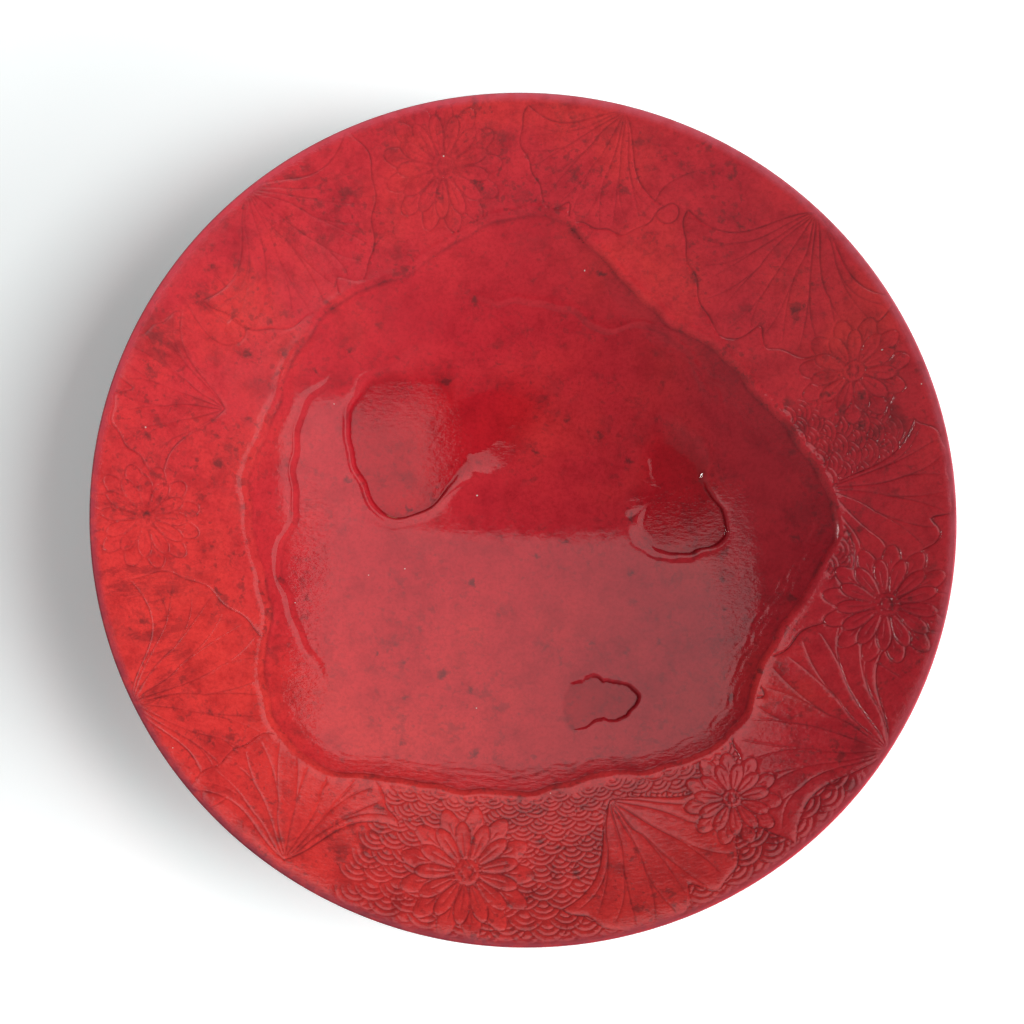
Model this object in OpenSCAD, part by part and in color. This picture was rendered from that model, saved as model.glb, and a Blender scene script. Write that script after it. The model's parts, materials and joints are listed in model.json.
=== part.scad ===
// Footed dish in red-glazed stoneware: a wide thrown bowl luted to a thrown foot,
// carved inside in stepped levels and covered with separate coats of glaze.
// Millimetres, +Z up, origin on the table under the middle of the foot.

/* [Dish] */
// Diameter over the rim
rim_d = 400; // [370:5:440]
// Height from the table to the top of the lip
dish_h = 92; // [86:1:110]
// Depth from the top of the lip to the middle of the bowl, at the level of the bank
bowl_depth = 62; // [54:1:66]
// Thickness of the bowl in the middle, coats included
floor_t = 10; // [9:0.5:13]
// Thickness of the rounded lip, coats included
lip_t = 4.4; // [3.6:0.2:6]

/* [Foot] */
// Diameter of the foot at the table
foot_d = 152; // [130:1:180]
// How far the foot flares out below its waist
foot_flare = 7; // [3:0.5:12]
// Thickness of the foot's wall at its waist
foot_wall = 9; // [6:0.5:14]
// Width of the flat face that the foot rests on
rest_w = 6.4; // [3:0.2:10]
// Radius of the two edges of that face
foot_edge_r = 1.8; // [1:0.1:2.5]

/* [Joint] */
// Thickness of the slip between the bowl and the foot
slip_t = 0.6; // [0.4:0.1:1.2]
// Radius of the clay coil smoothed into the outer corner of the joint
outer_coil_r = 9; // [6:0.5:11]
// Radius of the clay coil smoothed into the inner corner of the joint
inner_coil_r = 6; // [4:0.5:8]

/* [Glaze] */
// Thickness of every coat of glaze
glaze_t = 1; // [0.6:0.1:1.2]
// Height above the table at which the foot's coat stops
glaze_line_h = 6; // [4:0.5:9]
// Thickness of the roll that the foot's coat ends in
glaze_roll_t = 1.6; // [1.3:0.1:2.2]
// Length of one flank of that roll, along the foot
glaze_roll_w = 2.5; // [1.5:0.25:4]

/* [Carving] */
// Width of the carved bank, from the rim to the mean line of the pond
bank_w = 64; // [58:1:72]
// Drop from the bank to the pond
pond_drop = 1.6; // [1:0.1:2]
// Drop from the pond to a pool
pool_drop = 1.4; // [0.8:0.1:1.8]
// Reach of the pond's three broad bays
broad_bay = 8; // [5:1:10]
// Reach of the pond's five middle bays
middle_bay = 6; // [3:1:8]
// Reach of the pond's eight small bays
small_bay = 4; // [2:0.5:5]
// Mean radius of the large pool
large_pool_r = 44; // [38:1:47]
// Mean radius of the side pool
side_pool_r = 28; // [22:1:32]
// Mean radius of the small pool
small_pool_r = 15; // [11:1:18]

/* [Hidden] */
$fn = 96;

// Colours of the fired glaze and of the bare clay
bank_red = [0.62, 0.05, 0.05];
pond_red = [0.55, 0.03, 0.05];
pool_red = [0.45, 0.02, 0.04];
outside_red = [0.52, 0.04, 0.05];
clay_buff = [0.66, 0.55, 0.42];
slip_grey = [0.6, 0.52, 0.44];

// Sides of the inner ball, steps along the section's long and short arcs, points round each carved outline
ball_sides = 240;
long_steps = 30;
short_steps = 8;
pond_points = 120;
pool_points = 72;

// Mean radius of the pond, and the middle and turn of each pool in it
pond_r = rim_d / 2 - bank_w;
large_pool_at = pond_r * [-0.26, 0.38];
side_pool_at = pond_r * [0.53, 0.13];
small_pool_at = pond_r * [0.26, -0.62];
large_pool_turn = 20;
side_pool_turn = 100;
small_pool_turn = 10;

// Middle of the lip's round section
lip_r = lip_t / 2;
lip_at = [rim_d / 2 - lip_r, dish_h - lip_r];

// The inside is a ball that passes the floor and touches the lip
floor_z = dish_h - bowl_depth;
lip_over_floor = lip_at[1] - floor_z;
inner_r = (lip_at[0] ^ 2 + lip_over_floor ^ 2 - lip_r ^ 2) / (2 * (lip_over_floor + lip_r));
inner_at = [0, floor_z + inner_r];
inner_end = way(inner_at, lip_at);

// The outside is a ball that passes the underside and touches the lip
base_z = floor_z - floor_t;
lip_over_base = lip_at[1] - base_z;
outer_r = (lip_at[0] ^ 2 + lip_over_base ^ 2 - lip_r ^ 2) / (2 * (lip_over_base - lip_r));
outer_at = [0, base_z + outer_r];
outer_end = way(outer_at, lip_at);
clay_r = outer_r - glaze_t;
slip_r = clay_r + slip_t;

// Where the coat's own lip starts, just past the line along which the inner ball touches it
lip_start = lip_line(0)[1];

// Wall of the foot, and the middles of the hollow fillets that its two coils end in
foot_r = foot_d / 2;
waist_r = foot_r - foot_flare;
bore_r = waist_r - foot_wall;
mouth_r = foot_r - rest_w - 2 * foot_edge_r;
outer_coil_at = below_bowl(waist_r + outer_coil_r, outer_coil_r);
inner_coil_at = below_bowl(bore_r - inner_coil_r, inner_coil_r);
outer_coil_end = way(outer_at, outer_coil_at);
inner_coil_end = way(outer_at, inner_coil_at);

// The foot flares from its waist to the table along one arc, with angles down from the waist
flare_drop = outer_coil_at[1] - foot_edge_r;
flare_r = (flare_drop ^ 2 + foot_flare ^ 2) / (2 * foot_flare);
flare_at = [waist_r + flare_r, outer_coil_at[1]];
flare_end = asin(flare_drop / flare_r);
glaze_end = asin((flare_at[1] - glaze_line_h) / flare_r);

// Angle of the line from one point of the section to another
function way(from, to) = atan2(to[1] - from[1], to[0] - from[0]);

// Middle of a circle of radius r that touches the bowl's clay from below, at x from the axis
function below_bowl(x, r) = [x, outer_at[1] - sqrt((clay_r + r) ^ 2 - x ^ 2)];

// Angle at which a ball of radius r passes x from the axis
function angle_at(x, r) = -acos(x / r);

// Points along an arc, both ends included
function arc(at, r, from, to, steps) =
    [for (i = [0:steps]) let (a = from + (to - from) * i / steps) at + r * [cos(a), sin(a)]];

// A list without its last point, and a list turned round
function open_end(line) = [for (i = [0:len(line) - 2]) line[i]];
function turned(line) = [for (i = [len(line) - 1:-1:0]) line[i]];

// Lines of the wall's section, taken in by skin: inside, lip, outside and underside
function inside_line(skin) = arc(inner_at, inner_r + skin, -90, inner_end, long_steps);
function lip_line(skin) = arc(lip_at, lip_r - skin, inner_end + 180, outer_end, 2 * short_steps);
function lip_coat_line() = [for (i = [2:2 * short_steps]) lip_line(0)[i]];
function outside_line(skin) = arc(outer_at, outer_r - skin, outer_end, outer_coil_end, long_steps);
function base_line(skin) = arc(outer_at, outer_r - skin, inner_coil_end, -90, 2 * short_steps);

// Lines of the joint: over each coil, over and under the slip, and along each coil's fillet
function outer_coil_top() = arc(outer_at, clay_r, outer_coil_end, angle_at(waist_r, clay_r), short_steps);
function inner_coil_top() = arc(outer_at, clay_r, angle_at(bore_r, clay_r), inner_coil_end, short_steps);
function slip_line(r) = arc(outer_at, r, angle_at(waist_r, r), angle_at(bore_r, r), short_steps);
function outer_fillet(r) = arc(outer_coil_at, r, 180, outer_coil_end + 180, short_steps);
function inner_fillet(r) = arc(inner_coil_at, r, 0, inner_coil_end + 180, short_steps);

// Lines of the foot: glazed flare and bare flare
function glazed_flare() = arc(flare_at, flare_r, 180, 180 + glaze_end, long_steps);
function bare_flare() = arc(flare_at, flare_r, 180 + glaze_end, 180 + flare_end, short_steps);

// Thickness of the foot's coat at a distance up from its end
function foot_coat_t(up) =
    up < glaze_roll_w ? glaze_roll_t * sqrt(1 - (1 - up / glaze_roll_w) ^ 2)
    : up < 2 * glaze_roll_w ? glaze_t + (glaze_roll_t - glaze_t) * (1 - cos(180 * up / glaze_roll_w)) / 2
    : glaze_t;

// Line of the outer face of the foot's coat, from the waist to its end
function foot_coat_line() =
    [for (i = [0:long_steps])
        let (a = glaze_end * i / long_steps, up = flare_r * (glaze_end - a) * PI / 180)
        flare_at - (flare_r - foot_coat_t(up)) * [cos(a), sin(a)]];

// Radius of the pond's edge at an angle
function pond_edge(a) =
    pond_r
    + broad_bay * cos(3 * a + 40)
    + middle_bay * cos(5 * a - 60)
    + small_bay * cos(8 * a + 20);

// Radius of a pool's edge at an angle, as a share of its mean radius
function pool_edge(a) = 1 + 0.24 * cos(2 * a) + 0.12 * cos(3 * a + 50) + 0.06 * cos(5 * a - 30);

// A turned solid between two lines that run the same way
module turned_between(line, other) {
    rotate_extrude() polygon(concat(line, turned(other)));
}

// The inner ball, grown by a drop below the bank
module inner_ball(drop) {
    translate([0, 0, inner_at[1]]) sphere(inner_r + drop, $fn = ball_sides);
}

// Upright prism over the pond's outline, taken in by inset
module pond_prism(inset) {
    linear_extrude(dish_h)
        polygon([for (i = [0:pond_points - 1])
            let (a = 360 * i / pond_points) (pond_edge(a) - inset) * [cos(a), sin(a)]]);
}

// Upright prism over a pool's outline, taken in by inset
module pool_prism(at, turn, mean_r, inset) {
    translate(at) rotate(turn) linear_extrude(dish_h)
        polygon([for (i = [0:pool_points - 1])
            let (a = 360 * i / pool_points) (mean_r * pool_edge(a) - inset) * [cos(a), sin(a)]]);
}

// The prisms of all pools
module pool_prisms(inset) {
    pool_prism(large_pool_at, large_pool_turn, large_pool_r, inset);
    pool_prism(side_pool_at, side_pool_turn, side_pool_r, inset);
    pool_prism(small_pool_at, small_pool_turn, small_pool_r, inset);
}

// Clay cut away for the pond
module pond_cut() {
    intersection() {
        pond_prism(0);
        inner_ball(pond_drop + glaze_t);
    }
}

// Clay cut away, deeper, for the pools
module pools_cut() {
    intersection() {
        pool_prisms(0);
        inner_ball(pond_drop + pool_drop + glaze_t);
    }
}

// Thrown bowl, carved inside
module bowl_body() {
    color(clay_buff)
        difference() {
            rotate_extrude()
                polygon(concat(
                    open_end(inside_line(glaze_t)), open_end(lip_line(glaze_t)),
                    open_end(outside_line(glaze_t)), open_end(outer_coil_top()),
                    open_end(slip_line(clay_r)), open_end(inner_coil_top()), base_line(glaze_t)
                ));
            pond_cut();
            pools_cut();
        }
}

// Thrown foot, its top trimmed to the bowl and its bottom rounded to a flat resting face
module foot_ring() {
    color(clay_buff)
        rotate_extrude()
            polygon(concat(
                slip_line(slip_r), [[bore_r, inner_coil_at[1]]],
                arc([mouth_r + foot_edge_r, foot_edge_r], foot_edge_r, 180, 270, short_steps),
                arc([foot_r - foot_edge_r, foot_edge_r], foot_edge_r, -90, 0, short_steps),
                open_end(turned(open_end(bare_flare()))), turned(glazed_flare())
            ));
}

// Slip that lutes the foot to the bowl
module joint_slip() {
    color(slip_grey) turned_between(slip_line(clay_r), slip_line(slip_r));
}

// Clay coil smoothed into the outer corner of the joint
module outer_joint_coil() {
    color(clay_buff)
        rotate_extrude() polygon(concat(outer_coil_top(), open_end(outer_fillet(outer_coil_r))));
}

// Clay coil smoothed into the inner corner of the joint
module inner_joint_coil() {
    color(clay_buff) turned_between(inner_coil_top(), open_end(inner_fillet(inner_coil_r)));
}

// Coat over the lip and the carved bank, down the step to the pond
module bank_glaze() {
    color(bank_red)
        difference() {
            union() {
                turned_between(
                    concat([[0, lip_start[1]], lip_start], lip_coat_line()),
                    concat(open_end(inside_line(glaze_t)), lip_line(glaze_t))
                );
                pond_cut();
            }
            inner_ball(0);
            pond_prism(glaze_t);
        }
}

// Coat on the pond, down the steps to the pools
module pond_glaze() {
    color(pond_red)
        difference() {
            union() {
                intersection() {
                    pond_prism(glaze_t);
                    inner_ball(pond_drop + glaze_t);
                }
                pools_cut();
            }
            inner_ball(pond_drop);
            pool_prisms(glaze_t);
        }
}

// Coat on the floor of one pool
module pool_glaze(at, turn, mean_r) {
    color(pool_red)
        difference() {
            intersection() {
                pool_prism(at, turn, mean_r, glaze_t);
                inner_ball(pond_drop + pool_drop + glaze_t);
            }
            inner_ball(pond_drop + pool_drop);
        }
}

// Coat on the outside of the bowl, from the lip to the outer coil
module outside_glaze() {
    color(outside_red) turned_between(outside_line(0), outside_line(glaze_t));
}

// Coat on the outer coil and down the foot, ending in a roll at the glaze line
module foot_glaze() {
    color(outside_red)
        turned_between(
            concat(open_end(turned(outer_fillet(outer_coil_r))), glazed_flare()),
            concat(open_end(turned(outer_fillet(outer_coil_r - glaze_t))), open_end(foot_coat_line()))
        );
}

// Coat on the inner coil and the underside of the bowl, inside the foot
module base_glaze() {
    color(outside_red)
        turned_between(
            concat(open_end(inner_fillet(inner_coil_r - glaze_t)), base_line(0)),
            concat(open_end(inner_fillet(inner_coil_r)), base_line(glaze_t))
        );
}

bowl_body();
foot_ring();
joint_slip();
outer_joint_coil();
inner_joint_coil();
bank_glaze();
pond_glaze();
pool_glaze(large_pool_at, large_pool_turn, large_pool_r);  // large_pool_glaze
pool_glaze(side_pool_at, side_pool_turn, side_pool_r);  // side_pool_glaze
pool_glaze(small_pool_at, small_pool_turn, small_pool_r);  // small_pool_glaze
outside_glaze();
foot_glaze();
base_glaze();
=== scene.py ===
import json
import math

import bpy
import numpy as np
from mathutils import Matrix, Vector, geometry, kdtree

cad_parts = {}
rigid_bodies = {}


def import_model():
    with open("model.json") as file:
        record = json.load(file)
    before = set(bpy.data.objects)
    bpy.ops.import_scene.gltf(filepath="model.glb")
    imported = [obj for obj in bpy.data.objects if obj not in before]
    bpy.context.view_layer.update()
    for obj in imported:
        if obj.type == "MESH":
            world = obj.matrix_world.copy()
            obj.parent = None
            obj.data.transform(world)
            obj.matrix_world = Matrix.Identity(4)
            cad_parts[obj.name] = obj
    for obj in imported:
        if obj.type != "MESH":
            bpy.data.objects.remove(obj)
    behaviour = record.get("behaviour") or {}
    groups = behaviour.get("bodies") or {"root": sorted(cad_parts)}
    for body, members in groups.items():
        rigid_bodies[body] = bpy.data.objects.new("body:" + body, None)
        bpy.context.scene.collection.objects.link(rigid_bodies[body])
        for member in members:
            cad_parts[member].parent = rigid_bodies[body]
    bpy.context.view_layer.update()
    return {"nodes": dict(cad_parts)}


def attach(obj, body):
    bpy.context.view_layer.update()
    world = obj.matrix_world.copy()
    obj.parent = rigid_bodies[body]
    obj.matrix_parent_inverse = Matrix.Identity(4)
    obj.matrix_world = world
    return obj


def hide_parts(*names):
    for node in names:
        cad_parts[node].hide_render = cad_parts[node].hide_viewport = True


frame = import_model()
mm = 0.001
mergeGap = 3e-6       # metres between points that are merged
sharpAngle = 62       # degrees: the carved coats keep edges sharper than this
leastWeight = 0.004   # below this a point stays out of a vertex group
print("frame loaded:", len(frame["nodes"]), "nodes")

# sizes in mm, as the solids have them
# a bay is its height, its count round the edge and its phase in degrees
dish = {
    "rim": 400.0,
    "height": 92.0,
    "depth": 62.0,
    "floor": 10.0,
    "lip": 4.4,
    "coat": 1.0,
    "pond": 136.0,
    "pondBays": [(8.0, 3, 40), (6.0, 5, -60), (4.0, 8, 20)],
    "pondRagged": [(0.7, 17, 10), (0.5, 29, 80), (0.3, 47, 150)],   # hand-cut wander of the glazed edge
    "pondDrop": 1.6,
    "poolDrop": 1.4,
    "poolBays": [(0.24, 2, 0), (0.12, 3, 50), (0.06, 5, -30)],
    "poolRagged": [(0.8, 8, 30), (0.5, 13, 100), (0.35, 21, 10)],
    "poolRaggedPower": 0.8,   # how that wander grows with a pool's size
}
# gentle: mm that the edge takes to run out at gentleAt; tilt: share of the depth that is lost there
pools = [
    {
        "name": "largePoolGlaze",
        "node": "large_pool_glaze",
        "at": (-35.36, 51.68),
        "turn": 20,
        "r": 44.0,
        "gentle": 24,
        "gentleAt": 35,
        "tilt": 0,
    },
    {
        "name": "sidePoolGlaze",
        "node": "side_pool_glaze",
        "at": (72.08, 17.68),
        "turn": 100,
        "r": 28.0,
        "gentle": 15,
        "gentleAt": 140,
        "tilt": 0,
    },
    {
        "name": "smallPoolGlaze",
        "node": "small_pool_glaze",
        "at": (35.36, -84.32),
        "turn": 10,
        "r": 15.0,
        "gentle": 0.6,
        "gentleAt": 200,
        "tilt": 0.85,
    },
]

coat = dish["coat"]
rimR = dish["rim"] / 2
lipR = dish["lip"] / 2
lipX = rimR - lipR
lipZ = dish["height"] - lipR
floorZ = dish["height"] - dish["depth"]
baseZ = floorZ - dish["floor"]
innerR = (lipX**2 + (lipZ - floorZ) ** 2 - lipR**2) / (2 * (lipZ - floorZ + lipR))
outerR = (lipX**2 + (lipZ - baseZ) ** 2 - lipR**2) / (2 * (lipZ - baseZ - lipR))
innerZ = floorZ + innerR
outerZ = baseZ + outerR
innerEnd = math.atan2(lipZ - innerZ, lipX)
outerEnd = math.atan2(lipZ - outerZ, lipX)


def arc(middle, r, start, end, steps):
    turns = np.linspace(start, end, steps + 1)
    return np.stack([middle[0] + r * np.cos(turns), middle[1] + r * np.sin(turns)], 1)


def soft(values, low, high):
    share = np.clip((values - low) / (high - low), 0, 1)
    return share * share * (3 - 2 * share)


def mound(values, width):
    return np.exp(-((values / width) ** 2))


def waver(turn, bays):
    return sum(high * np.cos(count * turn + math.radians(phase)) for high, count, phase in bays)


def polar(points):  # distance from the axis, and direction
    return np.hypot(points[:, 0], points[:, 1]), np.arctan2(points[:, 1], points[:, 0])


def bowlZ(r, drop):
    return innerZ - np.sqrt((innerR + drop) ** 2 - r**2)


def pondEdge(turn):
    return dish["pond"] + waver(turn, dish["pondBays"] + dish["pondRagged"])


def poolDepthIn(pool, points):  # how far inside the pool's edge a point is
    dx = points[:, 0] - pool["at"][0]
    dy = points[:, 1] - pool["at"][1]
    turn = np.arctan2(dy, dx) - math.radians(pool["turn"])
    ragged = waver(turn, dish["poolRagged"]) * (pool["r"] / pools[0]["r"]) ** dish["poolRaggedPower"]
    return pool["r"] * (1 + waver(turn, dish["poolBays"])) + ragged - np.hypot(dx, dy)


def nearTree(spots):
    tree = kdtree.KDTree(len(spots))
    for i, (x, y) in enumerate(spots):
        tree.insert((x, y, 0), i)
    tree.balance()
    return tree


def readPoints(piece):
    flat = np.empty(len(piece.data.vertices) * 3)
    piece.data.vertices.foreach_get("co", flat)
    return flat.reshape(-1, 3) / mm


def writePoints(piece, points):
    piece.data.vertices.foreach_set("co", (points * mm).ravel())
    piece.data.update()


def faceMiddles(piece):
    flat = np.empty(len(piece.data.polygons) * 3)
    piece.data.polygons.foreach_get("center", flat)
    return flat.reshape(-1, 3) / mm


def makeActive(piece):
    bpy.ops.object.select_all(action="DESELECT")
    piece.select_set(True)
    bpy.context.view_layer.objects.active = piece


def editFaces(piece, chosen):  # into edit mode with these faces selected
    makeActive(piece)
    bpy.context.tool_settings.mesh_select_mode = (False, False, True)
    mesh = piece.data
    mesh.vertices.foreach_set("select", np.zeros(len(mesh.vertices), bool))
    mesh.edges.foreach_set("select", np.zeros(len(mesh.edges), bool))
    mesh.polygons.foreach_set("select", np.asarray(chosen, bool))
    bpy.ops.object.mode_set(mode="EDIT")


def refineFaces(piece, chosen):
    editFaces(piece, chosen)
    bpy.ops.mesh.subdivide(number_cuts=1, smoothness=0)
    bpy.ops.object.mode_set(mode="OBJECT")


def spinLine(name, line, steps):  # draws a section by extruding a point, then spins it round the axis
    bpy.ops.object.select_all(action="DESELECT")
    bpy.ops.mesh.primitive_plane_add(size=10 * mm)
    piece = bpy.context.active_object
    piece.name = piece.data.name = name
    bpy.context.tool_settings.mesh_select_mode = (True, False, False)
    bpy.ops.object.mode_set(mode="EDIT")
    bpy.ops.mesh.select_all(action="SELECT")
    bpy.ops.mesh.merge(type="CENTER")
    bpy.ops.transform.translate(value=(line[0][0] * mm, 0, line[0][1] * mm))
    for here, there in zip(line[:-1], line[1:]):
        step = ((there[0] - here[0]) * mm, 0, (there[1] - here[1]) * mm)
        bpy.ops.mesh.extrude_region_move(TRANSFORM_OT_translate={"value": step})
    bpy.ops.mesh.select_all(action="SELECT")
    bpy.ops.mesh.spin(steps=steps, angle=2 * math.pi, center=(0, 0, 0), axis=(0, 0, 1))
    bpy.ops.mesh.select_all(action="SELECT")
    bpy.ops.mesh.remove_doubles(threshold=mergeGap)
    bpy.ops.mesh.delete_loose()
    bpy.ops.mesh.select_all(action="SELECT")
    bpy.ops.mesh.normals_make_consistent(inside=False)
    bpy.ops.object.mode_set(mode="OBJECT")
    return piece


def displace(piece, groupName, weights, depth):
    group = piece.vertex_groups.new(name=groupName)
    for i in np.nonzero(weights > leastWeight)[0]:
        group.add((int(i),), float(weights[i]), "REPLACE")
    makeActive(piece)
    press = piece.modifiers.new(groupName, "DISPLACE")
    press.vertex_group = groupName
    press.mid_level = 0
    press.strength = depth * mm
    bpy.ops.object.modifier_apply(modifier=press.name)
    piece.vertex_groups.clear()


def keepShade(piece, name, values):  # a value per point, for the material
    shade = piece.data.attributes.new(name, "FLOAT", "POINT")
    shade.data.foreach_set("value", np.asarray(values, np.float32))


def finishPiece(piece, node, material, angle=55):
    makeActive(piece)
    bpy.ops.object.shade_smooth_by_angle(angle=math.radians(angle))
    piece.data.materials.clear()
    piece.data.materials.append(material)
    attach(piece, "root")
    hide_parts(node)
    triangles = sum(len(p.vertices) - 2 for p in piece.data.polygons)
    print(piece.name, "done:", triangles, "triangles")


# materials

def newMaterial(name):
    made = bpy.data.materials.new(name)
    made.use_nodes = True
    return made, made.node_tree


def addNode(tree, kind, links=None, **values):
    node = tree.nodes.new(kind)
    for key, value in values.items():
        if key in node.inputs:
            node.inputs[key].default_value = value
        else:
            setattr(node, key, value)
    for key, source in (links or {}).items():
        tree.links.new(source, node.inputs[key])
    return node


def vector(tree, kind, source, value=None):
    node = addNode(tree, "ShaderNodeVectorMath", {0: source}, operation=kind)
    if value is not None:
        node.inputs[1].default_value = value
    return node.outputs["Value" if kind in ("LENGTH", "DISTANCE", "DOT_PRODUCT") else "Vector"]


def shadeOf(tree, name):  # a value kept on the piece's points
    return addNode(tree, "ShaderNodeAttribute", attribute_name=name).outputs["Fac"]


def ramp(tree, source, stops):
    node = tree.nodes.new("ShaderNodeValToRGB")
    bar = node.color_ramp
    while len(bar.elements) < len(stops):
        bar.elements.new(0.5)
    for element, (place, colour) in zip(bar.elements, stops):
        element.position = place
        element.color = (*colour, 1)
    tree.links.new(source, node.inputs["Fac"])
    return node.outputs["Color"]


def span(tree, source, low, high, start=0.0, end=1.0):
    node = addNode(tree, "ShaderNodeMapRange", {"Value": source}, interpolation_type="SMOOTHSTEP")
    for key, value in zip(("From Min", "From Max", "To Min", "To Max"), (low, high, start, end)):
        node.inputs[key].default_value = value
    return node.outputs["Result"]


def times(tree, one, other, kind="MULTIPLY"):
    node = tree.nodes.new("ShaderNodeMath")
    node.operation = kind
    for socket, value in zip(node.inputs, (one, other)):
        if isinstance(value, (int, float)):
            socket.default_value = value
        else:
            tree.links.new(value, socket)
    return node.outputs[0]


def blendColour(tree, share, under, over, kind="MIX"):
    node = tree.nodes.new("ShaderNodeMixRGB")
    node.blend_type = kind
    for socket, value in zip(node.inputs, (share, under, over)):
        if isinstance(value, (int, float)):
            socket.default_value = value
        elif isinstance(value, tuple):
            socket.default_value = (*value, 1)
        else:
            tree.links.new(value, socket)
    return node.outputs[0]


seedStep = (0.31, 0.17, 0.23)   # metres between patterns of different seeds
speckWander = {"finer": 2.6, "detail": 4, "rough": 0.65, "seedStep": (0.37, 0.53, 0)}


def cloud(tree, place, scale, detail, roughness, seed):
    moved = vector(tree, "ADD", place, [part * seed for part in seedStep])
    node = addNode(tree, "ShaderNodeTexNoise", {"Vector": moved})
    for key, value in (("Scale", scale), ("Detail", detail), ("Roughness", roughness)):
        node.inputs[key].default_value = value
    return node


def specks(tree, place, spot):  # spots in some of the cells, seen in plan
    scale = spot["cells"] * speckWander["finer"]
    wander = cloud(tree, place, scale, speckWander["detail"], speckWander["rough"], spot["seed"])
    shift = vector(tree, "SUBTRACT", wander.outputs["Color"], (0.5, 0.5, 0.5))
    small = addNode(tree, "ShaderNodeVectorMath", {0: shift}, operation="SCALE")
    small.inputs["Scale"].default_value = spot["ragged"] / spot["cells"]
    moved = addNode(tree, "ShaderNodeVectorMath", {0: place, 1: small.outputs[0]}, operation="ADD")
    apart = vector(tree, "ADD", moved.outputs[0], [part * spot["seed"] for part in speckWander["seedStep"]])
    cells = addNode(tree, "ShaderNodeTexVoronoi", {"Vector": apart}, voronoi_dimensions="2D")
    cells.inputs["Scale"].default_value = spot["cells"]
    luck = addNode(tree, "ShaderNodeSeparateColor", {"Color": cells.outputs["Color"]})
    reach = span(tree, luck.outputs["Red"], 1 - spot["share"], 1.0, 0.0, spot["size"])
    gap = times(tree, reach, cells.outputs["Distance"], "SUBTRACT")
    return span(tree, gap, 0.0, spot["size"] * spot["fuzzy"])


glazeNoise = {   # cells per metre, detail, roughness and seed of each pattern
    "broad": (15, 4, 0.55, 2.7),
    "mottle": (80, 5, 0.62, 2.0),
    "grain": (560, 5, 0.7, 3.0),
    "streaks": (1.0, 8, 0.75, 4.0),
    "streakPatches": (13, 3, 0.5, 5.0),
    "iron": (30, 4, 0.6, 6.0),
    "lines": (70, 4, 0.6, 7.0),
    "lip": (160, 4, 0.6, 8.0),
    "rough": (180, 4, 0.6, 9.0),
    "swim": (55, 2, 0.5, 10.0),
    "peel": (360, 3, 0.6, 11.0),
    "tooth": (640, 3, 0.6, 12.0),
}
redGlaze = {
    "deep": (0.50, 0.020, 0.033),
    "body": (0.57, 0.025, 0.036),
    "warm": (0.63, 0.033, 0.034),
    "redAt": (0.34, 0.5, 0.68),     # where in the broad clouds these three lie
    # a brighter orange-red towards the lower left: partly the glaze's own warmer tone, partly painted light
    "hotAndPaintedLight": (0.75, 0.044, 0.037),
    "paintedLightWay": (-0.55, -0.835, 0.0),
    "paintedLightTo": 150,                   # mm that way to where the orange-red and its painted light are strongest
    "glow": 0.75,
    "pooled": (0.84, 0.40, 0.54),   # where the glaze lies thickest
    "stain": (0.075, 0.010, 0.014),
    "speck": (0.095, 0.021, 0.022),
    "mottle": 0.65,
    "mottleTints": [(0.34, (0.66, 0.55, 0.62)), (0.5, (0.95, 0.95, 0.96)), (0.64, (1.05, 1.08, 1.04))],
    "grain": 0.42,
    "grainTints": [(0.34, (0.6, 0.5, 0.5)), (0.54, (1, 1, 1)), (0.7, (1.08, 1.25, 1.2))],
    "streaks": 0.42,
    "streakFrom": 125,              # mm from the axis
    "streakTo": 190,
    "streakRound": 16.0,            # streaks come close round the wall and are long down it
    "streakDown": 34.0,
    "streakRange": (0.50, 0.62),
    "streakPatches": (0.38, 0.55),
    "streakLeft": (-120, 60),       # mm across: all of them at the left, few at the right
    "streakFew": 0.15,
    "iron": 0.62,
    "ironFew": 0.15,
    "ironRange": (0.38, 0.58),
    "soot": 0.1,                    # how much more iron gathers along the edges
    "blots": [
        {"scale": 46, "detail": 7, "rough": 0.74, "from": 0.51, "to": 0.68, "strength": 0.6, "seed": 21},
        {"scale": 125, "detail": 4, "rough": 0.62, "from": 0.56, "to": 0.68, "strength": 0.8, "seed": 22},
        {"scale": 320, "detail": 2, "rough": 0.5, "from": 0.58, "to": 0.7, "strength": 0.7, "seed": 23},
    ],
    # cells per metre, size in cells, share of cells that hold one
    "spots": {"cells": 66, "size": 0.19, "share": 0.72, "ragged": 0.75, "fuzzy": 0.85, "seed": 1},
    "spotted": (0.1, 0.72),
    # pale dots: painted glints, as light catching in pinholes
    "paintedGlintSpots": {"cells": 58, "size": 0.03, "share": 0.05, "ragged": 0.1, "fuzzy": 0.3, "seed": 7},
    "paintedGlint": (0.62, 0.5, 0.46),
    "lines": 0.8,
    "lineRange": (0.35, 0.62, 0.25, 1.0),
    "lip": 0.9,
    "lipFrom": 5.0,                 # mm in from the rim
    "lipTo": 0.8,
    "lipRange": (0.36, 0.6, 0.6, 1.0),
    # the lip's tint: painted shade at the lower left, the thin glaze's red, a painted highlight at the
    # upper right
    "lipPaintedShade": (0.20, 0.016, 0.034),
    "lipRed": (0.55, 0.036, 0.061),
    "lipPaintedHighlight": (0.60, 0.105, 0.145),
    "lipRough": 0.3,
    # painted shade on the pond's right side, away from the key lamp
    "paintedShade": 0.0,
    "paintedShadeTint": (0.55, 0.5, 0.6),
    "paintedShadeSide": (-40, 110),          # mm across
    "rough": (0.09, 0.18),
    "roughRange": (0.3, 0.7),
    "ior": 1.5,
    "swim": 0.10,
    "swimHigh": 1.2,                # heights of the bumps in mm
    "peel": 0.16,
    "peelHigh": 0.4,
    "toothHigh": 0.7,
    "toothLong": (0.36, 1.0, 1.0),
}
halfOfRoot = 0.354   # brings x + y on a unit circle to between -0.5 and 0.5


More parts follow.
